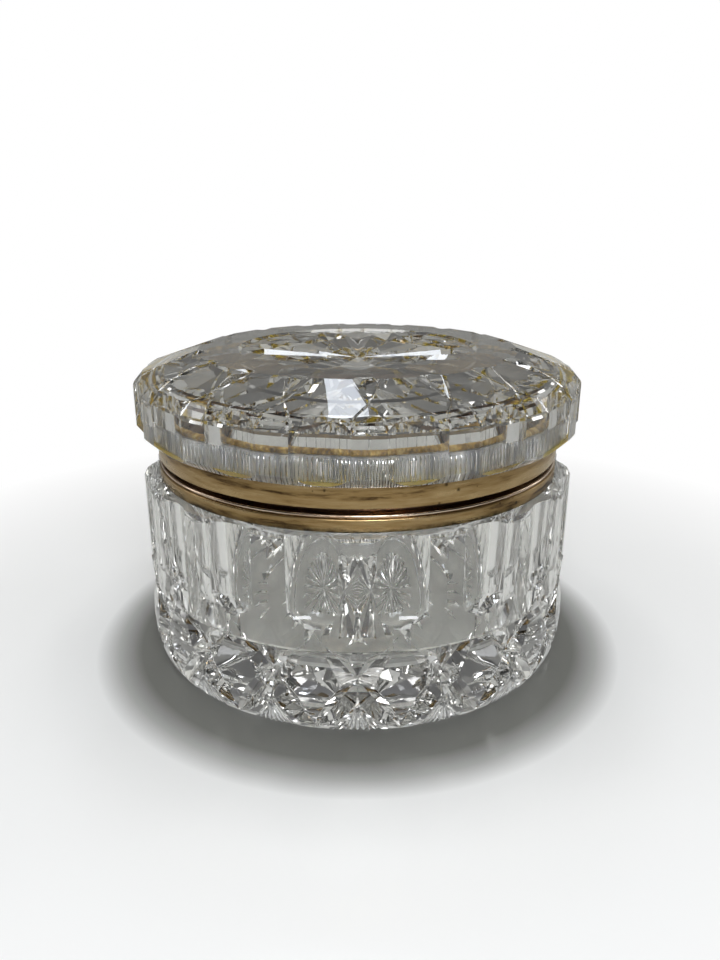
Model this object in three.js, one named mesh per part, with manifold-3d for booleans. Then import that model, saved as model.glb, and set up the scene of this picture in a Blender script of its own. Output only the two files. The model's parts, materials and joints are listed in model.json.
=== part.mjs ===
// A round cut-crystal powder jar with a hinged lid: a thick glass jar and a thick glass lid, each with a
// brass collar cemented to its rim, and a five-knuckle hinge at the back that joins the two collars.
// Millimetres, +Z up. The origin is the centre of the jar's foot, the hinge is at +Y, the front at -Y.
import * as THREE from "three";
import { mergeVertices } from "three/addons/utils/BufferGeometryUtils.js";
import Module from "manifold-3d";

const wasm = await Module();
wasm.setup();

// ---- Driving dimensions ----
const CUT_UNITS = 18; // repeats of the cut pattern round the jar and round the lid
const UNIT_ANGLE = (2 * Math.PI) / CUT_UNITS;
const ROUND_STEPS = CUT_UNITS * 4; // facets round every turned piece
const HINGE_STEPS = 16; // facets round the pin and the knuckles
const CLEARANCE = 0.3; // between pieces that are cemented or soldered together

const JAR_RADIUS = 59.5;
const FOOT_RADIUS = 57.4;
const FOOT_RECESS_RADIUS = 40;
const BAND_TOP = 21.4; // height of the ridge between the lower cut band and the arched panels
const SHOULDER_TOP = 50;
const NECK_RADIUS = 53.2;
const NECK_TOP = 52.3;
const WELL_RADIUS = 49.6;
const WELL_FLOOR = 11;
const PANEL_CUT_RADIUS = 9; // the wheel that cuts the arched panels
const PANEL_CUT_DISTANCE = 65.7;
const PANEL_BOTTOM = 28.5; // height of the panels' round lower ends
const STAR_HEIGHT = 13.8; // height at which the diagonal grooves of the lower band cross
const DIAGONAL_LEAN = 0.66; // radians from upright
const DIAGONAL_LENGTH = 33;

const LID_RADIUS = 60.1;
const LID_BOTTOM = 61.6;
const LID_WALL_TOP = 74.7;
const LID_TOP = 82.3;
const LID_WELL_RADIUS = 52.4;
const LID_CEILING = 72.8;
const LID_FLUTE_RADIUS = 11;
const LID_FLUTE_DISTANCE = 68.8;
const LID_TURN = (2.4 * Math.PI) / 180; // the lid's pattern is a little out of step with the jar's
const LID_STAR_RADIUS = 32.4;
const LID_BORDER_RADIUS = 43.1; // edge of the lid's flat top

const COLLAR_RADIUS = 55;
const COLLAR_WALL = 1.1;
const COLLAR_LIP = 0.7; // thickness of the lip that covers the glass rim
const COLLAR_BORE = 50; // radius of the opening inside both lips
const JAR_COLLAR_BOTTOM = SHOULDER_TOP + 0.1;
const JAR_COLLAR_TOP = 53.3;
const LID_COLLAR_BOTTOM = 55.7;
const LID_COLLAR_TOP = LID_BOTTOM - 0.4;
const TONGUE_OUTER = 53;
const TONGUE_WALL = 0.8;
const TONGUE_TOP = 57.4;
const BEAD_RADIUS = 0.5;
const PLASTER_TOP = 67.6;
const FILLET_TOP = 69.2;

const HINGE_Y = 57.6;
const HINGE_Z = 55.6;
const KNUCKLE_RADIUS = 2.1;
const KNUCKLE_BORE = 1.1;
const PIN_RADIUS = 0.98;
const KNUCKLE_LENGTH = 4.8;
const KNUCKLE_GAP = 0.2;
const KNUCKLE_COUNT = 5;
const PIN_HEAD_RADIUS = 1.6;
const PIN_HEAD_LENGTH = 0.6;
const BEARER_THICKNESS = 1;
const LEDGE_REACH = 2.2; // how far the jar bearer's ledge passes behind the pin's axis
const HEEL_REACH = 2.05; // how far the lid bearer's heels do, so that they meet the ledge at 100 degrees

// ---- Materials ----
const glass = new THREE.MeshStandardMaterial({
  color: 0xe6e9e4,
  roughness: 0.03,
  metalness: 0,
  transparent: true,
  opacity: 0.35,
});
const brass = new THREE.MeshStandardMaterial({ color: 0x9a7a45, roughness: 0.35, metalness: 1 });
const darkBrass = new THREE.MeshStandardMaterial({ color: 0x3a2a1c, roughness: 0.3, metalness: 1 });
const plaster = new THREE.MeshStandardMaterial({ color: 0xd9d8d2, roughness: 0.9, metalness: 0 });
const cement = new THREE.MeshStandardMaterial({ color: 0xb8960f, roughness: 0.6, metalness: 0 });

const group = new THREE.Group();

function addMesh(name, geometry, material) {
  const mesh = new THREE.Mesh(geometry, material);
  mesh.name = name;
  group.add(mesh);
  return mesh;
}

// ---- Solids ----
function solidOf(geometry) {
  const bare = geometry.clone();
  bare.deleteAttribute("normal");
  bare.deleteAttribute("uv");
  const merged = mergeVertices(bare, 1e-4);
  return new wasm.Manifold(
    new wasm.Mesh({
      numProp: 3,
      vertProperties: new Float32Array(merged.attributes.position.array),
      triVerts: new Uint32Array(merged.index.array),
    }),
  );
}

function geometryOf(solid) {
  const mesh = solid.getMesh();
  const geometry = new THREE.BufferGeometry();
  geometry.setAttribute("position", new THREE.BufferAttribute(mesh.vertProperties, 3));
  geometry.setIndex(new THREE.BufferAttribute(mesh.triVerts, 1));
  geometry.computeVertexNormals();
  return geometry;
}

// Turns an outline of [radius, height] pairs about the Z axis. The outline runs up the outside first.
function turned(outline, steps = ROUND_STEPS) {
  const points = outline.map(([radius, height]) => new THREE.Vector2(radius, height));
  return new THREE.LatheGeometry(points, steps).rotateX(Math.PI / 2);
}

// A ring of rectangular section.
function ring({ inner, outer, bottom, top }) {
  return turned([
    [inner, bottom],
    [outer, bottom],
    [outer, top],
    [inner, top],
    [inner, bottom],
  ]);
}

// Subtracts one copy of a cutter from a solid in every cut unit, offset by an angle from the front.
function cutRound(solid, cutter, offset, copies = CUT_UNITS) {
  let result = solid;
  for (let unit = 0; unit < copies; unit += 1) {
    const turnedCutter = cutter.clone().rotateZ(unit * UNIT_ANGLE + offset);
    result = result.subtract(solidOf(turnedCutter));
  }
  return result;
}

// A bar of diamond section that cuts a V groove in a surface facing the front. It is centred on the given
// radius and height, leans in the surface by lean, and tilt lays the surface back from upright.
function grooveBar({ length, width, depth, lean = 0, tilt = 0, radius, height }) {
  const bar = new THREE.CylinderGeometry(1, 1, length, 4);
  bar.scale(width / 2, 1, depth).rotateX(Math.PI / 2);
  return bar.rotateY(lean).rotateX(-tilt).translate(0, -radius, height);
}

// Cuts a pair of grooves that cross on the middle line of every unit.
function crossedGrooves(solid, groove, offset) {
  const leftToRight = cutRound(solid, grooveBar(groove), offset);
  return cutRound(leftToRight, grooveBar({ ...groove, lean: -groove.lean }), offset);
}

// ---- Jar glass: a tumbler with a recessed foot, a stepped neck, arched panels and crossed cuts ----
function jarGlass() {
  const outline = [
    [0, 1],
    [FOOT_RECESS_RADIUS - 2, 1],
    [FOOT_RECESS_RADIUS, 0],
    [FOOT_RADIUS, 0],
    [JAR_RADIUS - 0.5, 1.6],
    [JAR_RADIUS - 0.3, BAND_TOP - 0.6],
    [JAR_RADIUS - 0.9, BAND_TOP],
    [JAR_RADIUS, BAND_TOP + 0.6],
    [JAR_RADIUS, SHOULDER_TOP - 1.2],
    [JAR_RADIUS - 1, SHOULDER_TOP],
    [NECK_RADIUS, SHOULDER_TOP],
    [NECK_RADIUS, NECK_TOP],
    [WELL_RADIUS + 0.6, NECK_TOP],
    [WELL_RADIUS, NECK_TOP - 0.8],
    [WELL_RADIUS - 1.2, WELL_FLOOR + 5],
    [WELL_RADIUS - 7, WELL_FLOOR],
    [0, WELL_FLOOR],
  ];
  const diagonal = {
    length: DIAGONAL_LENGTH,
    width: 5.4,
    depth: 2.2,
    lean: DIAGONAL_LEAN,
    radius: JAR_RADIUS - 0.4,
    height: STAR_HEIGHT,
  };
  const panelled = cutRound(solidOf(turned(outline)), panelCutter(), UNIT_ANGLE / 2);
  return geometryOf(crossedGrooves(panelled, diagonal, 0));
}

// A round-ended finger whose side cuts an arched panel and whose end leaves the panel's round bottom.
function panelCutter() {
  const endSteps = 3;
  const outline = [];
  for (let step = 0; step <= endSteps; step += 1) {
    const angle = (step / endSteps) * (Math.PI / 2);
    outline.push([PANEL_CUT_RADIUS * Math.sin(angle), -PANEL_CUT_RADIUS * Math.cos(angle)]);
  }
  outline[0][0] = 0;
  outline.push([PANEL_CUT_RADIUS, SHOULDER_TOP], [0, SHOULDER_TOP]);
  return turned(outline, 16).translate(0, -PANEL_CUT_DISTANCE, PANEL_BOTTOM + PANEL_CUT_RADIUS - 2.6);
}

// ---- Lid glass: a thick disc with a fluted wall, a sloping border of X cuts and a hollow below ----
function lidGlass() {
  const crossRadius = LID_RADIUS - 4.4;
  const crossHeight = LID_WALL_TOP + 5;
  const outline = [
    [0, LID_CEILING],
    [LID_WELL_RADIUS - 1, LID_CEILING],
    [LID_WELL_RADIUS, LID_CEILING - 1],
    [LID_WELL_RADIUS, LID_BOTTOM],
    [LID_RADIUS - 2.8, LID_BOTTOM],
    [LID_RADIUS, LID_BOTTOM + 2.8],
    [LID_RADIUS, LID_WALL_TOP],
    [crossRadius, crossHeight],
    [LID_BORDER_RADIUS, LID_TOP],
    [0, LID_TOP],
  ];
  const flute = new THREE.CylinderGeometry(LID_FLUTE_RADIUS, LID_FLUTE_RADIUS, LID_TOP, 24);
  flute.rotateX(Math.PI / 2).translate(0, -LID_FLUTE_DISTANCE, LID_TOP);
  const crossing = { width: 2.6, depth: 1, radius: crossRadius, height: crossHeight };
  const upperArms = {
    ...crossing,
    length: 2 * (crossRadius - LID_BORDER_RADIUS),
    lean: 0.28,
    tilt: Math.atan2(crossRadius - LID_BORDER_RADIUS, LID_TOP - crossHeight),
  };
  const lowerArms = {
    ...crossing,
    length: 14,
    lean: 0.6,
    tilt: Math.atan2(LID_RADIUS - crossRadius, crossHeight - LID_WALL_TOP),
  };
  const starRay = grooveBar({
    length: 2 * LID_STAR_RADIUS,
    width: 3,
    depth: 0.8,
    tilt: Math.PI / 2,
    radius: 0,
    height: LID_TOP,
  });
  const fluted = cutRound(solidOf(turned(outline)), flute, UNIT_ANGLE / 2 + LID_TURN);
  const bordered = crossedGrooves(crossedGrooves(fluted, upperArms, LID_TURN), lowerArms, LID_TURN);
  return geometryOf(cutRound(bordered, starRay, LID_TURN, CUT_UNITS / 2));
}

// ---- Collars and what beds them to the glass ----
function jarCollar() {
  return turned([
    [COLLAR_RADIUS - COLLAR_WALL, JAR_COLLAR_BOTTOM],
    [COLLAR_RADIUS, JAR_COLLAR_BOTTOM],
    [COLLAR_RADIUS, JAR_COLLAR_TOP],
    [COLLAR_BORE, JAR_COLLAR_TOP],
    [COLLAR_BORE, JAR_COLLAR_TOP - COLLAR_LIP],
    [COLLAR_RADIUS - COLLAR_WALL, JAR_COLLAR_TOP - COLLAR_LIP],
    [COLLAR_RADIUS - COLLAR_WALL, JAR_COLLAR_BOTTOM],
  ]);
}

// The lid collar is an outer band, a flat lip under the glass rim and an inner upstand in the lid's hollow.
function lidCollar() {
  const lipBottom = LID_COLLAR_TOP - COLLAR_LIP;
  const upstandTop = PLASTER_TOP - 1;
  return turned([
    [COLLAR_RADIUS - COLLAR_WALL, LID_COLLAR_BOTTOM],
    [COLLAR_RADIUS, LID_COLLAR_BOTTOM],
    [COLLAR_RADIUS, LID_COLLAR_TOP],
    [COLLAR_BORE + 0.8, LID_COLLAR_TOP],
    [COLLAR_BORE + 0.8, upstandTop],
    [COLLAR_BORE, upstandTop],
    [COLLAR_BORE, lipBottom],
    [COLLAR_RADIUS - COLLAR_WALL, lipBottom],
    [COLLAR_RADIUS - COLLAR_WALL, LID_COLLAR_BOTTOM],
  ]);
}

// A round wire soldered along the top outer edge of the jar collar.
function jarBead() {
  const sides = 6;
  const outline = [];
  for (let side = 0; side <= sides; side += 1) {
    const angle = ((side % sides) / sides) * 2 * Math.PI;
    const radius = COLLAR_RADIUS - BEAD_RADIUS - 0.2 + BEAD_RADIUS * Math.cos(angle);
    const height = JAR_COLLAR_TOP + BEAD_RADIUS + 0.05 + BEAD_RADIUS * Math.sin(angle);
    outline.push([radius, height]);
  }
  return turned(outline);
}

// ---- Hinge: knuckle tubes along X, alternately on the jar and on the lid ----
const KNUCKLE_PITCH = KNUCKLE_LENGTH + KNUCKLE_GAP;
const HINGE_LENGTH = KNUCKLE_COUNT * KNUCKLE_PITCH - KNUCKLE_GAP;

function knuckleCentre(index) {
  return (index - (KNUCKLE_COUNT - 1) / 2) * KNUCKLE_PITCH;
}

// A turned piece laid along X with its axis on the hinge axis.
function onHingeAxis(outline, x) {
  return turned(outline, HINGE_STEPS)
    .rotateY(Math.PI / 2)
    .translate(x, HINGE_Y, HINGE_Z);
}

function knuckle(index) {
  const half = KNUCKLE_LENGTH / 2;
  const outline = [
    [KNUCKLE_BORE, -half],
    [KNUCKLE_RADIUS, -half],
    [KNUCKLE_RADIUS, half],
    [KNUCKLE_BORE, half],
    [KNUCKLE_BORE, -half],
  ];
  return onHingeAxis(outline, knuckleCentre(index));
}

function hingePin() {
  const half = HINGE_LENGTH / 2 + KNUCKLE_GAP;
  const outline = [
    [0, -half - PIN_HEAD_LENGTH],
    [PIN_HEAD_RADIUS - 0.4, -half - PIN_HEAD_LENGTH],
    [PIN_HEAD_RADIUS, -half],
    [PIN_RADIUS, -half],
    [PIN_RADIUS, half],
    [PIN_HEAD_RADIUS, half],
    [PIN_HEAD_RADIUS - 0.4, half + PIN_HEAD_LENGTH],
    [0, half + PIN_HEAD_LENGTH],
  ];
  return onHingeAxis(outline, 0);
}

function block(x0, x1, y0, y1, z0, z1) {
  const box = new THREE.BoxGeometry(x1 - x0, y1 - y0, z1 - z0);
  return solidOf(box.translate((x0 + x1) / 2, (y0 + y1) / 2, (z0 + z1) / 2));
}

// A plate that follows the back of a collar, between two heights.
function collarPlate(bottom, top) {
  const inner = COLLAR_RADIUS + CLEARANCE;
  const shell = solidOf(ring({ inner, outer: inner + BEARER_THICKNESS, bottom, top }));
  const half = HINGE_LENGTH / 2;
  return shell.intersect(block(-half, half, 0, COLLAR_RADIUS * 2, bottom - 1, top + 1));
}

// Space that the whole row of knuckles needs, with a little room round it.
function barrelSpace() {
  const half = HINGE_LENGTH / 2 + 1;
  const outline = [
    [0, -half],
    [KNUCKLE_RADIUS + CLEARANCE, -half],
    [KNUCKLE_RADIUS + CLEARANCE, half],
    [0, half],
  ];
  return solidOf(onHingeAxis(outline, 0));
}

// A block as wide as one knuckle, between two depths behind the collar and two heights.
function knuckleBlock(index, y0, y1, z0, z1) {
  const half = KNUCKLE_LENGTH / 2 - 0.2;
  const centre = knuckleCentre(index);
  return block(centre - half, centre + half, y0, y1, z0, z1);
}

// The jar bearer is a plate on the collar, a ledge under the whole barrel and a seat for each jar knuckle.
function jarBearer() {
  const top = JAR_COLLAR_TOP - 0.2;
  const half = HINGE_LENGTH / 2;
  const inner = COLLAR_RADIUS + 0.7;
  let solid = collarPlate(JAR_COLLAR_BOTTOM, top);
  solid = solid.add(block(-half, half, inner, HINGE_Y + LEDGE_REACH, top - 0.9, top));
  for (const index of [0, 2, 4]) {
    solid = solid.add(knuckleBlock(index, inner, HINGE_Y + 1.4, top - 0.5, HINGE_Z - 0.8));
  }
  return geometryOf(solid.subtract(barrelSpace()));
}

// The lid bearer is a plate on the collar with a strap over each lid knuckle. The strap's far end is a heel
// that meets the jar bearer's ledge when the lid is fully open.
function lidBearer() {
  const bottom = HINGE_Z + KNUCKLE_RADIUS + CLEARANCE;
  const inner = COLLAR_RADIUS + 0.7;
  let solid = collarPlate(bottom, LID_COLLAR_TOP - 0.2);
  for (const index of [1, 3]) {
    solid = solid.add(knuckleBlock(index, inner, HINGE_Y + HEEL_REACH, bottom, bottom + 1));
    solid = solid.add(knuckleBlock(index, inner, HINGE_Y, HINGE_Z + 0.8, bottom + 0.5));
  }
  return geometryOf(solid.subtract(barrelSpace()));
}

// ---- Assembly ----
const jarCement = {
  inner: NECK_RADIUS + 0.15,
  outer: COLLAR_RADIUS - COLLAR_WALL - 0.15,
  bottom: JAR_COLLAR_BOTTOM + 0.1,
  top: NECK_TOP,
};
const jarTongue = {
  inner: TONGUE_OUTER - TONGUE_WALL,
  outer: TONGUE_OUTER,
  bottom: JAR_COLLAR_TOP + 0.05,
  top: TONGUE_TOP,
};
const lidAdhesive = {
  inner: LID_WELL_RADIUS,
  outer: COLLAR_RADIUS - 0.5,
  bottom: LID_COLLAR_TOP + 0.05,
  top: LID_BOTTOM - 0.05,
};
const lidPlaster = {
  inner: COLLAR_BORE + 1.1,
  outer: LID_WELL_RADIUS - 0.3,
  bottom: LID_COLLAR_TOP + 0.1,
  top: PLASTER_TOP,
};
const lidFillet = {
  inner: COLLAR_BORE + 0.6,
  outer: LID_WELL_RADIUS - 0.3,
  bottom: PLASTER_TOP + 0.1,
  top: FILLET_TOP,
};

addMesh("jar_glass", jarGlass(), glass);
addMesh("jar_collar", jarCollar(), brass);
addMesh("jar_cement", ring(jarCement), plaster);
addMesh("jar_tongue", ring(jarTongue), darkBrass);
addMesh("jar_bead", jarBead(), darkBrass);

addMesh("lid_glass", lidGlass(), glass);
addMesh("lid_collar", lidCollar(), brass);
addMesh("lid_adhesive", ring(lidAdhesive), cement);
addMesh("lid_plaster", ring(lidPlaster), plaster);
addMesh("lid_cement_fillet", ring(lidFillet), cement);

addMesh("hinge_bearer_jar", jarBearer(), brass);
addMesh("hinge_bearer_lid", lidBearer(), brass);
addMesh("hinge_pin", hingePin(), brass);
const knuckleNames = [
  "hinge_knuckle_jar_left",
  "hinge_knuckle_lid_left",
  "hinge_knuckle_jar_middle",
  "hinge_knuckle_lid_right",
  "hinge_knuckle_jar_right",
];
knuckleNames.forEach((name, index) => addMesh(name, knuckle(index), brass));

export default group;
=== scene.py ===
"""Looks of the powder jar: cut crystal, aged brass collars, hinge, old cement, stage and lights."""
import json
import math

import bpy
import numpy as np
from mathutils import Matrix, Vector


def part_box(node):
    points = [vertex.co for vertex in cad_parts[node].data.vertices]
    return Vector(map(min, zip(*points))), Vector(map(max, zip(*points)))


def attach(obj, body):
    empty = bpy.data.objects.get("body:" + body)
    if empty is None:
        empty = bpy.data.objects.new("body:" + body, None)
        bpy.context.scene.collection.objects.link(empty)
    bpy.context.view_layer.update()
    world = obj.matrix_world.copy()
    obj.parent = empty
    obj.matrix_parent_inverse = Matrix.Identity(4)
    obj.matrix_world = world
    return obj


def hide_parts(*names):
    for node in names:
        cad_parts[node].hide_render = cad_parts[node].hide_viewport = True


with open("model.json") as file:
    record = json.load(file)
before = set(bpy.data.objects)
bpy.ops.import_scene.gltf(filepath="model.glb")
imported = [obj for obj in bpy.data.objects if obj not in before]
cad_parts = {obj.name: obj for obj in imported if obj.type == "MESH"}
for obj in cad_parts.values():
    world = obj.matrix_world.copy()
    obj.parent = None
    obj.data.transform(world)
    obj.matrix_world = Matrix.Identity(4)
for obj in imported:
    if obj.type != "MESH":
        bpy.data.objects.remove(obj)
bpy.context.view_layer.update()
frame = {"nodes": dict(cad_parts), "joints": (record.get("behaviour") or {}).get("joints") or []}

MM = 0.001
UNITS = 18  # repeats of the cut pattern
UNIT = math.tau / UNITS
LID_TURN = math.radians(2.4)  # the lid's pattern against the jar's


# ---------------------------------------------------------------- mesh tools (millimetres)
def make_object(name, verts, faces, smooth_angle=18.0):
    """A mesh object in the scene from vertices in millimetres."""
    mesh = bpy.data.meshes.new(name)
    mesh.from_pydata([tuple(np.asarray(v) * MM) for v in verts], [], faces)
    mesh.validate()
    piece = bpy.data.objects.new(name, mesh)
    bpy.context.scene.collection.objects.link(piece)
    shade(piece, smooth_angle)
    return piece


def shade(piece, smooth_angle):
    """Shades a piece smooth except over edges sharper than the angle in degrees."""
    mesh = piece.data
    mesh.polygons.foreach_set("use_smooth", np.ones(len(mesh.polygons), bool))
    mesh.set_sharp_from_angle(angle=math.radians(smooth_angle))
    mesh.update()


def lathe(outline, steps, radius_at=None):
    """Vertices and faces of an outline of (radius, height) turned about Z from the front.

    The outline may touch the axis at its ends. radius_at(radius, height, angle) can change the radius from
    place to place.
    """
    verts, faces, rings = [], [], []
    for radius, height in outline:
        if radius < 1e-9:
            rings.append([len(verts)] * steps)
            verts.append((0.0, 0.0, height))
            continue
        ring = []
        for step in range(steps):
            angle = math.tau * step / steps
            r = radius_at(radius, height, angle) if radius_at else radius
            ring.append(len(verts))
            verts.append((r * math.sin(angle), -r * math.cos(angle), height))
        rings.append(ring)
    on_axis = outline[0][0] < 1e-9 and outline[-1][0] < 1e-9
    pairs = list(zip(rings, rings[1:])) + ([] if on_axis else [(rings[-1], rings[0])])
    for low, high in pairs:
        for step in range(steps):
            nxt = (step + 1) % steps
            face = [low[step], low[nxt], high[nxt], high[step]]
            face = [v for i, v in enumerate(face) if v != face[i - 1]]
            if len(face) > 2:
                faces.append(face)
    return verts, faces


def filleted(outline, radius, steps=3, closed=True):
    """The outline with each corner rounded, where there is room, by an arc of about the given radius."""
    points = [Vector(p) for p in outline]
    result = []
    count = len(points)
    for i, corner in enumerate(points):
        if not closed and i in (0, count - 1):
            result.append(tuple(corner))
            continue
        before = points[i - 1] - corner
        after = points[(i + 1) % count] - corner
        bend = math.pi - before.angle(after)
        if bend < math.radians(8):
            result.append(tuple(corner))
            continue
        reach = min(radius * math.tan(bend / 2), 0.4 * before.length, 0.4 * after.length)
        start = corner + before.normalized() * reach
        end = corner + after.normalized() * reach
        for step in range(steps + 1):
            t = step / steps
            point = start.lerp(corner, t).lerp(corner.lerp(end, t), t)
            result.append(tuple(point))
    return result


def circle(centre_r, centre_z, radius, steps):
    """The outline of a round wire that runs about Z."""
    angles = np.linspace(0, math.tau, steps, endpoint=False)
    return [(centre_r + radius * math.cos(a), centre_z + radius * math.sin(a)) for a in angles]


def moved(part, matrix):
    """A vertex and face list under a matrix."""
    verts, faces = part
    return [tuple(matrix @ Vector(v)) for v in verts], faces


def merged(parts):
    """One vertex and face list from several."""
    verts, faces = [], []
    for part_verts, part_faces in parts:
        base = len(verts)
        verts.extend(part_verts)
        faces.extend([[base + v for v in face] for face in part_faces])
    return verts, faces


def around(part, offset, every=1):
    """Copies of a part at the front, turned about Z by an offset and on to each unit, or each second one."""
    angles = [offset + unit * UNIT for unit in range(0, UNITS, every)]
    return merged([moved(part, Matrix.Rotation(angle, 4, "Z")) for angle in angles])


def cut(piece, cutter):
    """Takes the closed solids of a cutter, a vertex and face list, off a piece."""
    tool = make_object("cutter", *cutter)
    boolean = piece.modifiers.new("cut", "BOOLEAN")
    boolean.operation = "DIFFERENCE"
    boolean.solver = "MANIFOLD"
    boolean.object = tool
    evaluated = piece.evaluated_get(bpy.context.evaluated_depsgraph_get())
    mesh = bpy.data.meshes.new_from_object(evaluated)
    piece.modifiers.clear()
    old = piece.data
    piece.data = mesh
    bpy.data.meshes.remove(old)
    tool_mesh = tool.data
    bpy.data.objects.remove(tool)
    bpy.data.meshes.remove(tool_mesh)


# the ends and sides of a four-sided bar: the first end's corners are 0 to 3, the second's 4 to 7
BAR_FACES = [[3, 2, 1, 0], [4, 5, 6, 7]] + [[i, (i + 1) % 4, 4 + (i + 1) % 4, 4 + i] for i in range(4)]


def block(x0, x1, y0, y1, z0, z1):
    """An upright box."""
    verts = [(x, y, z) for z in (z0, z1) for x, y in ((x0, y0), (x1, y0), (x1, y1), (x0, y1))]
    return verts, BAR_FACES


def groove(start, end, width, depth, out=(0, -1, 0), scales=(1, 1), level_ends=False):
    """A bar of diamond section from start to end, which leaves a V groove in the surface that it lies in.

    out points away from the surface, scales taper the two ends, and level_ends makes the ends horizontal
    on a bar that rises.
    """
    start, end = Vector(start), Vector(end)
    inward = -Vector(out).normalized()
    across = Vector((1, 0, 0)) if level_ends else inward.cross(end - start).normalized()
    corners = [across * width / 2, inward * depth, -across * width / 2, -inward * depth]
    verts = []
    for point, scale in zip((start, end), scales):
        verts += [tuple(point + corner * scale) for corner in corners]
    return verts, BAR_FACES


def post(radius, distance, bottom, top, steps):
    """An upright cylinder, standing at a distance in front of the axis."""
    upright = lathe([(0, bottom), (radius, bottom), (radius, top), (0, top)], steps)
    return moved(upright, Matrix.Translation((0, -distance, 0)))


def finger(radius, distance, bottom, top, end_height):
    """An upright bar with a rounded lower end, standing at a distance in front of the axis."""
    steps, end_steps = 90, 20
    outline = [(0, bottom)]
    for i in range(1, end_steps + 1):
        angle = i / end_steps * math.pi / 2
        outline.append((radius * math.sin(angle), bottom + end_height * (1 - math.cos(angle))))
    outline += [(radius, top), (0, top)]
    return moved(lathe(outline, steps), Matrix.Translation((0, -distance, 0)))


def star_cutter(rays, reach, waist, depth, belly, surface, above, down=True):
    """A closed solid that cuts a pleated star: petals that widen to the waist and end in points at the reach.

    The centre lies at the depth inside the surface, and each petal's middle line passes the waist at the
    belly's depth. down is True for a surface that faces up, which is cut downwards.
    """
    side = 1 if down else -1
    centre, lid = 0, 1
    verts = [(0, 0, surface - side * depth), (0, 0, surface + side * above)]

    def at(turn, radius, z):
        angle = math.tau * turn / rays
        return (radius * math.sin(angle), -radius * math.cos(angle), z)

    for ray in range(rays):
        verts.append(at(ray, waist, surface - side * belly))
        verts.append(at(ray, reach, surface))
        verts.append(at(ray + 0.5, waist, surface))
        verts.append(at(ray, reach + 0.5, surface + side * above))
        verts.append(at(ray + 0.5, waist + 0.5, surface + side * above))
    faces = []
    for ray in range(rays):
        base = 2 + 5 * ray
        before = 2 + 5 * ((ray - 1) % rays)
        middle, tip, notch, high_tip, high_notch = range(base, base + 5)
        last_notch, high_last = before + 2, before + 4
        for face in (
            [centre, middle, last_notch],
            [centre, notch, middle],
            [middle, tip, last_notch],
            [middle, notch, tip],
            [last_notch, tip, high_tip, high_last],
            [tip, notch, high_notch, high_tip],
            [lid, high_last, high_tip],
            [lid, high_tip, high_notch],
        ):
            faces.append(face if down else face[::-1])
    return verts, faces


# ---------------------------------------------------------------- places, from the frame (millimetres)
def heights(node_name):
    """The lowest and highest point of a node."""
    low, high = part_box(node_name)
    return low.z / MM, high.z / MM


def outer_radius(node_name):
    """The radius of a round node about Z, which is its reach to the back."""
    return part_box(node_name)[1].y / MM


JAR_R = outer_radius("jar_glass")
JAR_TOP = heights("jar_glass")[1]
COLLAR_R = outer_radius("jar_collar")
LID_R = outer_radius("lid_glass")
LID_LOW, LID_HIGH = heights("lid_glass")
SHOULDER = heights("jar_collar")[0] - 0.1
HINGE = Vector(frame["joints"][0]["pos_m"]) / MM

# sizes that the frame doesn't give
GLASS_STEPS = 360
FOOT_RECESS = 1.2
WELL_FLOOR = 11.0
RING_Z = 21.4  # the groove round the jar, above the lower band
NECK_R = 53.2
LID_BORE_R = 52.4  # the inner wall of the lid glass
BAND_STEPS = 256
BAND_INNER_R = 53.9
LIP_INNER_R = 50.0
SHEET = 0.7


# ---------------------------------------------------------------- materials
def material(name):
    """A new node material, its tree and its shader."""
    made = bpy.data.materials.new(name)
    made.use_nodes = True
    tree = made.node_tree
    return made, tree, tree.nodes["Principled BSDF"]


def node(tree, kind, **values):
    """A new node; each value sets the input of that name or else the property."""
    made = tree.nodes.new(kind)
    for key, value in values.items():
        if key in made.inputs:
            made.inputs[key].default_value = value
        else:
            setattr(made, key, value)
    return made


def object_noise(tree, scale, detail=4.0, stretch=(1, 1, 1), roughness=0.55):
    """Noise fixed to the object, in cycles per metre."""
    coords = node(tree, "ShaderNodeTexCoord")
    mapping = node(tree, "ShaderNodeMapping")
    mapping.inputs["Scale"].default_value = stretch
    noise = node(tree, "ShaderNodeTexNoise", Scale=scale, Detail=detail, Roughness=roughness)
    tree.links.new(coords.outputs["Object"], mapping.inputs["Vector"])
    tree.links.new(mapping.outputs["Vector"], noise.inputs["Vector"])
    return noise


def ramp(tree, source, stops):
    """A colour ramp over a value, from stops of (place, colour)."""
    made = node(tree, "ShaderNodeValToRGB")
    elements = made.color_ramp.elements
    while len(elements) < len(stops):
        elements.new(0.5)
    for element, (position, colour) in zip(elements, stops):
        element.position = position
        element.color = (*colour, 1)
    tree.links.new(source, made.inputs["Fac"])
    return made


def map_range(tree, source, low, high, to_low, to_high):
    """A value carried from one range to another and held within it."""
    made = node(tree, "ShaderNodeMapRange")
    for key, value in (("From Min", low), ("From Max", high), ("To Min", to_low), ("To Max", to_high)):
        made.inputs[key].default_value = value
    tree.links.new(source, made.inputs["Value"])
    return made.outputs["Result"]


def bump(tree, shader, height, strength, distance):
    """Small relief on a shader; the distance is in metres."""
    made = node(tree, "ShaderNodeBump", Strength=strength, Distance=distance)
    tree.links.new(height, made.inputs["Height"])
    tree.links.new(made.outputs["Normal"], shader.inputs["Normal"])


def multiplied(tree, first, second, factor):
    """The first colour darkened by the second, as far as the factor says."""
    mix = node(tree, "ShaderNodeMix", data_type="RGBA", blend_type="MULTIPLY")
    mix.inputs["Factor"].default_value = factor
    tree.links.new(first, mix.inputs["A"])
    tree.links.new(second, mix.inputs["B"])
    return mix.outputs["Result"]


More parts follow.
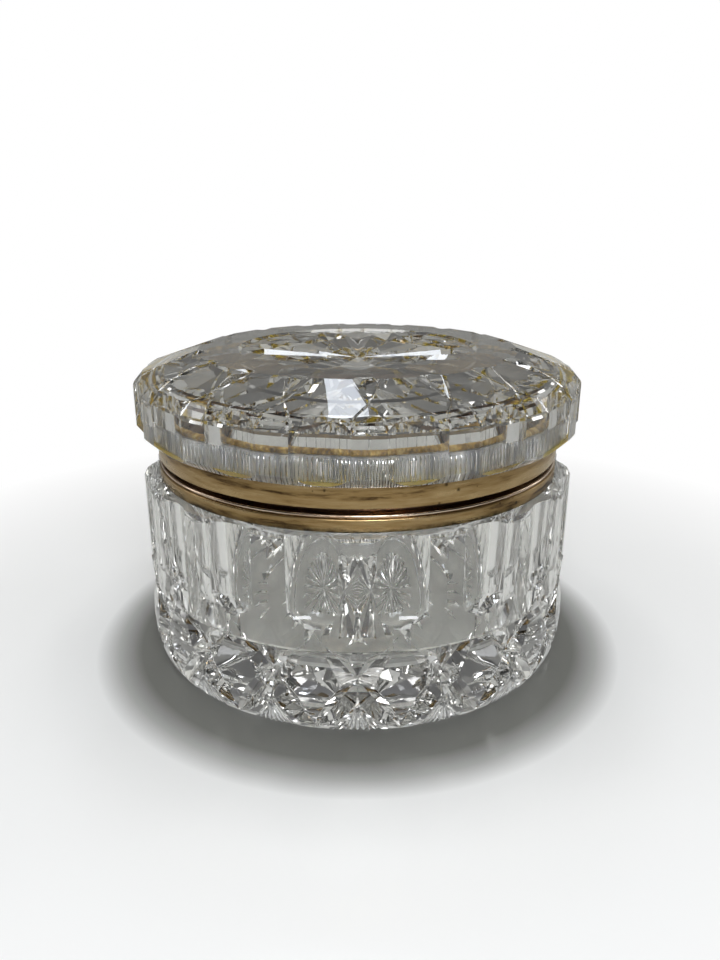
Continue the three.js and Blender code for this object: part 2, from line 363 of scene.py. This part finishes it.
def camera_switch(tree, for_the_rest, for_camera):
    """One shader for what the camera sees directly and another for every other ray."""
    path = node(tree, "ShaderNodeLightPath")
    switch = node(tree, "ShaderNodeMixShader")
    tree.links.new(path.outputs["Is Camera Ray"], switch.inputs["Fac"])
    tree.links.new(for_the_rest, switch.inputs[1])
    tree.links.new(for_camera, switch.inputs[2])
    return switch.outputs["Shader"]


def crystal_material(name, tint):
    """Clear cut glass with faint wear and the slight waviness of a moulded surface."""
    made, tree, shader = material(name)
    shader.inputs["Base Color"].default_value = (*tint, 1)
    shader.inputs["IOR"].default_value = 1.54
    shader.inputs["Transmission Weight"].default_value = 1.0
    wear = object_noise(tree, 180, detail=5, roughness=0.7)
    tree.links.new(map_range(tree, wear.outputs["Fac"], 0.5, 0.75, 0.0, 0.05), shader.inputs["Roughness"])
    waves = object_noise(tree, 60, detail=2)
    bump(tree, shader, waves.outputs["Fac"], 0.06, 0.0006)
    return made


def brass_material(name, light, mid, dark, rough):
    """Old brass with brown streaks round it, dark pits, and grime along the foot of the jar's collar."""
    made, tree, shader = material(name)
    shader.inputs["Metallic"].default_value = 1.0
    streaks = object_noise(tree, 42, detail=8, stretch=(1, 1, 9), roughness=0.68)
    colour = ramp(tree, streaks.outputs["Fac"], [(0.33, dark), (0.44, mid), (0.6, light), (0.8, mid)])
    pits = node(tree, "ShaderNodeTexVoronoi", Scale=330.0)
    coords = node(tree, "ShaderNodeTexCoord")
    tree.links.new(coords.outputs["Object"], pits.inputs["Vector"])
    pit_patch = object_noise(tree, 90, detail=3)
    pit_size = node(tree, "ShaderNodeMath", operation="MULTIPLY")
    tree.links.new(pits.outputs["Distance"], pit_size.inputs[0])
    tree.links.new(map_range(tree, pit_patch.outputs["Fac"], 0.4, 0.62, 6.0, 1.0), pit_size.inputs[1])
    pit_mask = ramp(tree, pit_size.outputs[0], [(0.10, (0, 0, 0)), (0.24, (1, 1, 1))])
    pitted = multiplied(tree, colour.outputs["Color"], pit_mask.outputs["Color"], 0.8)
    split = node(tree, "ShaderNodeSeparateXYZ")
    tree.links.new(coords.outputs["Object"], split.inputs["Vector"])
    blots = object_noise(tree, 130, detail=5, roughness=0.7)
    ragged = node(tree, "ShaderNodeMath", operation="MULTIPLY_ADD")
    ragged.inputs[1].default_value = 0.006
    tree.links.new(blots.outputs["Fac"], ragged.inputs[0])
    tree.links.new(split.outputs["Z"], ragged.inputs[2])
    grime = map_range(tree, ragged.outputs[0], 0.0530, 0.0542, 0.2, 1.0)
    tree.links.new(multiplied(tree, pitted, grime, 1.0), shader.inputs["Base Color"])
    wear = map_range(tree, streaks.outputs["Fac"], 0.3, 0.7, rough + 0.16, rough - 0.06)
    tree.links.new(wear, shader.inputs["Roughness"])
    brushed = object_noise(tree, 260, detail=4, stretch=(0.4, 0.4, 8))
    bump(tree, shader, brushed.outputs["Fac"], 0.22, 0.0002)
    return made


def plaster_material():
    """White bedding plaster with bluish grey and faintly yellow upright streaks."""
    made, tree, shader = material("bedding_plaster")
    streaks = object_noise(tree, 420, detail=4, stretch=(1, 1, 0.12), roughness=0.6)
    stops = [(0.36, (0.42, 0.43, 0.48)), (0.46, (0.80, 0.81, 0.85)), (0.56, (0.98, 0.98, 0.98))]
    colour = ramp(tree, streaks.outputs["Fac"], stops)
    stains = object_noise(tree, 55, detail=5)
    tint = ramp(tree, stains.outputs["Fac"], [(0.38, (0.86, 0.80, 0.66)), (0.55, (1, 1, 1))])
    stained = multiplied(tree, colour.outputs["Color"], tint.outputs["Color"], 1.0)
    tree.links.new(stained, shader.inputs["Base Color"])
    shader.inputs["Roughness"].default_value = 0.4
    return made


def cement_material(name, dark, mid, light, scale):
    """Yellowed cement with browner and lighter patches."""
    made, tree, shader = material(name)
    patches = object_noise(tree, scale, detail=6, roughness=0.65)
    colour = ramp(tree, patches.outputs["Fac"], [(0.34, dark), (0.5, mid), (0.66, light)])
    tree.links.new(colour.outputs["Color"], shader.inputs["Base Color"])
    shader.inputs["Roughness"].default_value = 0.4
    grain = object_noise(tree, 700, detail=3)
    bump(tree, shader, grain.outputs["Fac"], 0.3, 0.0003)
    return made


CRYSTAL = crystal_material("cut_crystal", tint=(0.985, 0.985, 0.97))
# the lid's glass takes a grey tint, painted shade that makes the lid darker than the jar
SHADED_LID_CRYSTAL = crystal_material("lid_crystal_painted_shade", tint=(0.78, 0.775, 0.76))
BRASS = brass_material(
    "aged_brass",
    light=(0.46, 0.33, 0.165),
    mid=(0.33, 0.215, 0.09),
    dark=(0.045, 0.022, 0.01),
    rough=0.26,
)
WIRE = brass_material(
    "worn_wire",
    light=(0.85, 0.70, 0.55),
    mid=(0.60, 0.45, 0.33),
    dark=(0.10, 0.06, 0.04),
    rough=0.14,
)
# a darkened copy of the brass for the upstand: painted shade of the recess between the two collars
SHADED_BRASS = brass_material(
    "dark_brass",
    light=(0.24, 0.155, 0.10),
    mid=(0.11, 0.062, 0.04),
    dark=(0.03, 0.017, 0.012),
    rough=0.18,
)
PLASTER = plaster_material()
CEMENT = cement_material(
    "old_cement",
    dark=(0.34, 0.20, 0.01),
    mid=(0.58, 0.41, 0.02),
    light=(0.72, 0.55, 0.06),
    scale=90,
)
GOLDEN = cement_material(
    "golden_cement",
    dark=(0.12, 0.06, 0.008),
    mid=(0.52, 0.30, 0.04),
    light=(0.98, 0.74, 0.28),
    scale=420,
)


def finish_piece(piece, made, body, replaced):
    """Gives a piece its material, its body and the CAD node that it replaces."""
    piece.data.materials.clear()
    piece.data.materials.append(made)
    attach(piece, body)
    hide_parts(replaced)


# ---------------------------------------------------------------- jar glass
def jar_glass():
    """The jar: a turned blank with the cuts of each unit taken off it."""
    foot = [
        (0, FOOT_RECESS), (39.0, FOOT_RECESS), (40.2, 0.25), (41, 0), (56.8, 0), (57.9, 0.5), (58.8, 2.4),
    ]
    band = [(59.5, 6), (59.8, 10), (59.6, 14.5), (59.1, 18.5), (58.9, 20.3), (58.3, RING_Z)]
    wall = [
        (59.0, 22.3), (59.3, 26), (JAR_R, 36), (JAR_R, SHOULDER - 1.2), (JAR_R - 0.5, SHOULDER - 0.5),
        (JAR_R - 1.6, SHOULDER),
    ]
    neck = [(NECK_R, SHOULDER), (NECK_R, JAR_TOP), (50.2, JAR_TOP), (49.6, JAR_TOP - 0.8)]
    well = [
        (49.2, 34), (48.6, 17.5), (47.4, 14.2), (45.2, 12.2), (42.0, 11.2), (38.0, WELL_FLOOR),
        (0, WELL_FLOOR),
    ]
    piece = make_object("jar_glass_cut", *lathe(foot + band + wall + neck + well, GLASS_STEPS))
    # pillars between the panels: two flat facets each, which meet in a ridge
    slab, depth, facet_x, facet_z, turn = 1.2, 0.67, 4.15, 37.5, math.radians(9)
    facet = block(-4.3, 4.3, -slab, slab, -15.2, 14)
    for side in (-1, 1):
        place = Matrix.Translation((side * facet_x, -(JAR_R + slab - depth), facet_z))
        cut(piece, around(moved(facet, place @ Matrix.Rotation(side * turn, 4, "Z")), 0))
    # arched panels
    panel = finger(radius=10.5, distance=67.2, bottom=25.6, top=SHOULDER + 4, end_height=6.6)
    cut(piece, around(panel, UNIT / 2))
    # crossed diagonals of the lower band, which stop at the ring line, and the shallower ones above it
    star_z, arch_z = 13.8, 27.3
    spread = 0.776  # sideways for each millimetre up
    for side in (-1, 1):
        low = (-side * spread * (star_z + 0.6), -59.4, -0.6)
        high = (side * spread * (RING_Z - star_z), -59.4, RING_Z)
        arch = (side * 10.4, -58.7, arch_z)
        cut(piece, around(groove(low, high, 7.4, 2.3, level_ends=True), 0))
        cut(piece, around(groove(high, arch, 4.4, 1.3, scales=(1, 0.12), level_ends=True), 0))
    # upright mitres above and below each crossing
    bottom, crossing, top = (0, -59.6, 6.6), (0, -59.5, star_z), (0, -59.0, RING_Z)
    cut(piece, around(groove(crossing, top, 5.0, 2.5, scales=(0.5, 1), level_ends=True), 0))
    cut(piece, around(groove(bottom, crossing, 3.6, 2.1, scales=(0.1, 1), level_ends=True), 0))
    # fans of fine rays from the mitres to the foot
    rays, half_fan = 8, 5.6
    for base_x in np.linspace(-half_fan, half_fan, rays):
        root = (base_x, -57.3, -0.4)
        tip = (base_x * 0.06, -59.7, 7.8)
        cut(piece, around(groove(root, tip, 1.75, 1.3, scales=(1, 0.05), level_ends=True), 0))
    # star in the foot
    star = star_cutter(
        rays=24, reach=28, waist=24.5, depth=2.4, belly=1.7, surface=FOOT_RECESS, above=1.0, down=False
    )
    cut(piece, star)
    shade(piece, 6)
    finish_piece(piece, CRYSTAL, "jar", "jar_glass")


# ---------------------------------------------------------------- lid glass
def lid_glass():
    """The lid: a turned blank with its hollow, which is ribbed, and the cuts of each unit taken off it."""
    rim = LID_R - 0.05
    wall_top = LID_HIGH - 7.6
    dish_r, dish_z = 32.4, LID_HIGH - 0.7
    ceiling = 72.8
    hollow = [
        (0, ceiling), (51.0, ceiling), (51.9, ceiling - 0.3), (LID_BORE_R, ceiling - 1.0),
        (LID_BORE_R, LID_LOW),
    ]
    wall = [(rim - 2.8, LID_LOW), (rim, LID_LOW + 2.8), (rim, wall_top)]
    top = [
        (rim - 4.4, LID_HIGH - 2.6), (44.2, LID_HIGH), (dish_r, LID_HIGH), (dish_r - 0.8, dish_z),
        (0, dish_z),
    ]
    piece = make_object("lid_glass_cut", *lathe(hollow + wall + top, GLASS_STEPS))
    # fine upright ribs moulded inside the wall, up to the plaster's top
    ribs, rib_height, groove_r = UNITS * 15, 0.25, 52.95
    rib_top = heights("lid_plaster")[1]

    def ribbed(radius, _height, angle):
        return radius - rib_height * (1 - math.cos(ribs * angle)) if radius > 52 else radius

    rib_ring = [
        (50.5, LID_LOW - 1), (groove_r, LID_LOW - 1), (groove_r, rib_top - 1.2), (52.75, rib_top - 0.5),
        (52.3, rib_top), (50.5, rib_top),
    ]
    cut(piece, lathe(rib_ring, ribs * 6, ribbed))
    # broad flat facets of the bevel, one between each two crosses, in two goes because neighbours overlap
    border_r, fall = 43.1, 0.35
    facet = block(-12, 12, -24, 3, 0, 6)
    place = Matrix.Translation((0, -border_r, LID_HIGH)) @ Matrix.Rotation(math.atan(fall), 4, "X")
    for first in (0, 1):
        cut(piece, around(moved(facet, place), UNIT * (first + 0.5) + LID_TURN, every=2))
    # flutes of the wall
    flute = post(radius=11, distance=68.4, bottom=LID_LOW - 2, top=LID_HIGH + 2, steps=120)
    cut(piece, around(flute, UNIT / 2 + LID_TURN))
    # crosses over the ridges between the facets: a notch above, fine lines below to the gable corners
    slope = (0, -fall, 1)
    centre = (0, -53.4, LID_HIGH - 3.3)
    notch = (0, -41.6, LID_HIGH + 0.75)
    cut(piece, around(groove(centre, notch, 8.0, 1.35, out=slope, scales=(0.05, 1)), LID_TURN))
    fine = 0.8
    for side in (-1, 1):
        upper = (side * 3.6, -42.9, LID_HIGH + 0.2)
        shield = (side * 2.9, -57.4, LID_HIGH - 4.9)
        corner = (side * 3.8, -60.3, LID_HIGH - 7.9)
        cut(piece, around(groove(centre, upper, fine, 0.3, out=slope, scales=(1, 0.3)), LID_TURN))
        cut(piece, around(groove(centre, shield, fine, 0.35, out=slope), LID_TURN))
        cut(piece, around(groove(shield, corner, fine, 0.35, out=(0, -1.1, 1)), LID_TURN))
    # star on top
    star = star_cutter(
        rays=18, reach=dish_r - 1.2, waist=25.5, depth=2.4, belly=1.7, surface=dish_z, above=1.5
    )
    cut(piece, star)
    shade(piece, 5)
    finish_piece(piece, SHADED_LID_CRYSTAL, "lid", "lid_glass")


# ---------------------------------------------------------------- collars and bedding
def collars():
    """The bands, upstands and bead round the two rims."""
    low, high = heights("jar_collar")
    outline = [
        (BAND_INNER_R, low), (COLLAR_R, low), (COLLAR_R, high), (LIP_INNER_R, high),
        (LIP_INNER_R, high - SHEET), (BAND_INNER_R, high - SHEET),
    ]
    jar_band = make_object("jar_collar_band", *lathe(filleted(outline, 0.35), BAND_STEPS), smooth_angle=35)
    finish_piece(jar_band, BRASS, "jar", "jar_collar")

    low, high = heights("lid_collar")
    lip = LID_LOW - 0.4
    upstand_r = LIP_INNER_R + 0.8
    outline = [
        (BAND_INNER_R, low), (COLLAR_R, low), (COLLAR_R, lip), (upstand_r, lip), (upstand_r, high),
        (LIP_INNER_R, high), (LIP_INNER_R, lip - SHEET), (BAND_INNER_R, lip - SHEET),
    ]
    lid_band = make_object("lid_collar_band", *lathe(filleted(outline, 0.3), BAND_STEPS), smooth_angle=35)
    finish_piece(lid_band, BRASS, "lid", "lid_collar")

    low, high = heights("jar_tongue")
    inner, outer = 52.2, 53
    outline = filleted([(inner, low), (outer, low), (outer, high), (inner, high)], 0.3)
    tongue = make_object("jar_upstand", *lathe(outline, BAND_STEPS), smooth_angle=35)
    # the upstand's darkened brass is painted shade of the recess between the collars
    finish_piece(tongue, SHADED_BRASS, "jar", "jar_tongue")

    low, high = heights("jar_bead")
    radius = (high - low) / 2
    centre = outer_radius("jar_bead") - radius
    outline = circle(centre, (low + high) / 2, radius, 16)
    bead = make_object("jar_bead_wire", *lathe(outline, BAND_STEPS), smooth_angle=40)
    finish_piece(bead, WIRE, "jar", "jar_bead")


def bedding():
    """The rings of plaster and cement.

    The jar's cement and the lid's adhesive stand about 0.1 mm inside the glass that they wet. An air gap
    between the lid glass and its plaster and golden bead keeps the glass's inner reflections.
    """
    wet = 0.1
    low, high = heights("jar_cement")
    inner, outer = NECK_R - wet, 53.8
    outline = [(inner, low - wet), (outer, low - wet), (outer, high), (inner, high)]
    ring = make_object("jar_cement_ring", *lathe(outline, 180))
    finish_piece(ring, PLASTER, "jar", "jar_cement")

    low, high = heights("lid_plaster")
    inner, outer = 51.0, 52.1

    def uneven(radius, _height, angle):
        if radius < outer:
            return radius
        return radius + 0.06 * math.sin(37 * angle) + 0.05 * math.sin(91 * angle + 1)

    outline = [(inner, low), (outer, low), (outer, high), (inner, high)]
    plaster = make_object("lid_plaster_packing", *lathe(outline, 720, uneven), smooth_angle=60)
    finish_piece(plaster, PLASTER, "lid", "lid_plaster")

    low, high = heights("lid_cement_fillet")
    beads, bead_r, bead_height = UNITS * 13, 51.4, 0.13

    def beaded(radius, _height, angle):
        return radius + bead_height * math.cos(beads * angle) * (1 if radius > bead_r else -1)

    outline = circle(bead_r, (low + high) / 2, 0.75, 12)
    fillet = make_object("lid_cement_bead", *lathe(outline, beads * 6, beaded), smooth_angle=60)
    finish_piece(fillet, GOLDEN, "lid", "lid_cement_fillet")

    low, high = heights("lid_adhesive")

    def squeezed(radius, _height, angle):
        if radius < 54:
            return radius
        wide = 0.16 * math.sin(7 * angle)
        middling = 0.12 * math.sin(17 * angle + 1)
        narrow = 0.05 * math.sin(41 * angle)
        return radius + wide + middling + narrow

    inner, under, over = 52.3, low - 0.04, high + 0.12
    outline = [(inner, under), (55.0, under), (56.1, high - 0.1), (56.3, over), (inner, over)]
    adhesive = make_object("lid_adhesive_ring", *lathe(outline, 360, squeezed), smooth_angle=50)
    finish_piece(adhesive, CEMENT, "lid", "lid_adhesive")


# ---------------------------------------------------------------- hinge
BORE_R, KNUCKLE_R = 1.1, 2.1
PIN_R, PIN_HEAD_R, PIN_HEAD = 0.98, 1.6, 0.6
KNUCKLES = {
    "hinge_knuckle_jar_left": "jar",
    "hinge_knuckle_lid_left": "lid",
    "hinge_knuckle_jar_middle": "jar",
    "hinge_knuckle_lid_right": "lid",
    "hinge_knuckle_jar_right": "jar",
}


def along_hinge(node_name):
    """The middle and half the length of a node along the hinge's axis."""
    low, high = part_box(node_name)
    return (high.x + low.x) / 2 / MM, (high.x - low.x) / 2 / MM


def on_hinge_axis(outline, x):
    """Vertices and faces of an outline of (radius, place along the axis) turned about the hinge's axis."""
    matrix = Matrix.Translation((x, HINGE.y, HINGE.z)) @ Matrix.Rotation(math.pi / 2, 4, "Y")
    return moved(lathe(outline, 64), matrix)


def hinge():
    """The knuckles and the pin, rounded off; the two bearers stay as the CAD has them."""
    for name, body in KNUCKLES.items():
        centre, half = along_hinge(name)
        outline = [(BORE_R, -half), (KNUCKLE_R, -half), (KNUCKLE_R, half), (BORE_R, half)]
        tube = make_object(name + "_tube", *on_hinge_axis(filleted(outline, 0.25), centre), smooth_angle=35)
        finish_piece(tube, BRASS, body, name)
    half = along_hinge("hinge_pin")[1]
    neck = half - PIN_HEAD
    outline = [
        (0, -half), (1.2, -half), (PIN_HEAD_R, -neck), (PIN_R, -neck), (PIN_R, neck),
        (PIN_HEAD_R, neck), (1.2, half), (0, half),
    ]
    outline = filleted(outline, 0.2, closed=False)
    pin = make_object("hinge_pin_turned", *on_hinge_axis(outline, 0), smooth_angle=35)
    finish_piece(pin, BRASS, "jar", "hinge_pin")
    for name in ("hinge_bearer_jar", "hinge_bearer_lid"):
        bearer = frame["nodes"][name]
        bearer.data.materials.clear()
        bearer.data.materials.append(BRASS)


# ---------------------------------------------------------------- stage
def light_panel(name, size, place, target, radiance, colour=(1, 1, 1)):
    """A rectangular area light that looks equally bright from wherever its face is seen."""
    data = bpy.data.lights.new(name, "AREA")
    data.shape = "RECTANGLE"
    data.size, data.size_y = size
    data.energy = radiance * math.pi * size[0] * size[1]
    data.color = colour
    lamp = bpy.data.objects.new(name, data)
    lamp.location = place
    lamp.rotation_euler = (Vector(target) - Vector(place)).to_track_quat("-Z", "Y").to_euler()
    bpy.context.scene.collection.objects.link(lamp)


def floor_material():
    """Pale paper with a dark contact shadow painted round the jar's foot, which fades to white farther out.

    The glass sees it without the painted shadow: pale under the jar and greyer around it.
    """
    made, tree, shader = material("floor_paper")
    shader.inputs["Roughness"].default_value = 0.24
    place = node(tree, "ShaderNodeNewGeometry")
    distance = node(tree, "ShaderNodeVectorMath", operation="DISTANCE")
    distance.inputs[1].default_value = (0, -0.006, 0)
    tree.links.new(place.outputs["Position"], distance.inputs[0])
    contact = map_range(tree, distance.outputs["Value"], 0.0625, 0.075, 0.0, 1.0)
    shadow = [(0.0, (0.20, 0.20, 0.18)), (0.5, (0.45, 0.45, 0.43)), (1.0, (0.86, 0.86, 0.84))]
    tree.links.new(ramp(tree, contact, shadow).outputs["Color"], shader.inputs["Base Color"])
    fade = map_range(tree, distance.outputs["Value"], 0.085, 0.2, 0.0, 1.0)
    white = node(tree, "ShaderNodeEmission", Color=(1, 1, 1, 1), Strength=1.0)
    paper = node(tree, "ShaderNodeMixShader")
    tree.links.new(fade, paper.inputs["Fac"])
    tree.links.new(shader.outputs["BSDF"], paper.inputs[1])
    tree.links.new(white.outputs["Emission"], paper.inputs[2])
    plain = node(tree, "ShaderNodeBsdfDiffuse")
    under = map_range(tree, distance.outputs["Value"], 0.055, 0.085, 0.0, 1.0)
    greys = [(0.0, (0.86, 0.86, 0.83)), (1.0, (0.60, 0.60, 0.57))]
    tree.links.new(ramp(tree, under, greys).outputs["Color"], plain.inputs["Color"])
    seen = camera_switch(tree, plain.outputs["BSDF"], paper.outputs["Shader"])
    tree.links.new(seen, tree.nodes["Material Output"].inputs["Surface"])
    return made


def studio_world():
    """White to the camera; to all else a grey room, palest at and below the horizon and dark in front."""
    world = bpy.data.worlds.new("studio")
    bpy.context.scene.world = world
    world.use_nodes = True
    tree = world.node_tree
    tree.nodes.clear()
    out = node(tree, "ShaderNodeOutputWorld")
    direction = node(tree, "ShaderNodeTexCoord")
    split = node(tree, "ShaderNodeSeparateXYZ")
    tree.links.new(direction.outputs["Generated"], split.inputs["Vector"])
    greys = [
        (0.0, (0.62, 0.62, 0.585)),
        (0.22, (0.24, 0.24, 0.23)),
        (0.5, (0.10, 0.10, 0.10)),
        (1.0, (0.14, 0.14, 0.15)),
    ]
    height = ramp(tree, split.outputs["Z"], greys)
    front = map_range(tree, split.outputs["Y"], -0.4, 0.4, 0.05, 1.0)
    room = node(tree, "ShaderNodeBackground")
    tree.links.new(height.outputs["Color"], room.inputs["Color"])
    tree.links.new(front, room.inputs["Strength"])
    white = node(tree, "ShaderNodeBackground", Color=(1, 1, 1, 1), Strength=1.0)
    seen = camera_switch(tree, room.outputs["Background"], white.outputs["Background"])
    tree.links.new(seen, out.inputs["Surface"])


def stage():
    """The floor, the room and the lights; sizes and places of lights in metres."""
    half_floor = 1500
    floor = make_object("floor", *block(-half_floor, half_floor, -half_floor, half_floor, -12, -0.02))
    floor.data.materials.append(floor_material())
    studio_world()
    aim = (0, 0, 0.04)
    bluish, cool = (0.84, 0.9, 1.0), (0.92, 0.95, 1.0)
    light_panel("overhead", (0.42, 0.30), (0, 0.08, 0.66), aim, radiance=6.5)
    light_panel("window", (0.11, 0.15), (-0.022, 0.48, 0.69), aim, radiance=7.0, colour=bluish)
    light_panel("front_window", (0.5, 0.16), (0.06, -0.62, 0.42), aim, radiance=15.0, colour=cool)
    light_panel("left_strip", (0.10, 0.5), (-0.62, 0.1, 0.3), aim, radiance=2.3)
    light_panel("right_strip", (0.10, 0.5), (0.6, 0.25, 0.3), aim, radiance=2.2)


def camera():
    """A camera in front of the jar, which looks slightly down on it."""
    distance, height = 3.96 * COLLAR_R * MM, 2.17 * COLLAR_R * MM
    down = math.radians(19.2)
    data = bpy.data.cameras.new("camera")
    data.sensor_width = 36
    data.lens = 29.85
    data.shift_x = 0.00265625
    data.clip_start, data.clip_end = 0.01, 20
    made = bpy.data.objects.new("camera", data)
    made.location = (0, -distance, height)
    made.rotation_euler = (math.pi / 2 - down, 0, 0)
    bpy.context.scene.collection.objects.link(made)
    bpy.context.scene.camera = made


def look_settings():
    """Colours as they are, and enough bounces for light to pass the cut glass."""
    scene = bpy.context.scene
    scene.view_settings.view_transform = "Standard"
    scene.cycles.max_bounces = 24
    scene.cycles.transmission_bounces = 24
    scene.cycles.glossy_bounces = 16
    scene.cycles.diffuse_bounces = 4
    scene.cycles.sample_clamp_indirect = 6.0


jar_glass()
lid_glass()
collars()
bedding()
hinge()
stage()
camera()
look_settings()
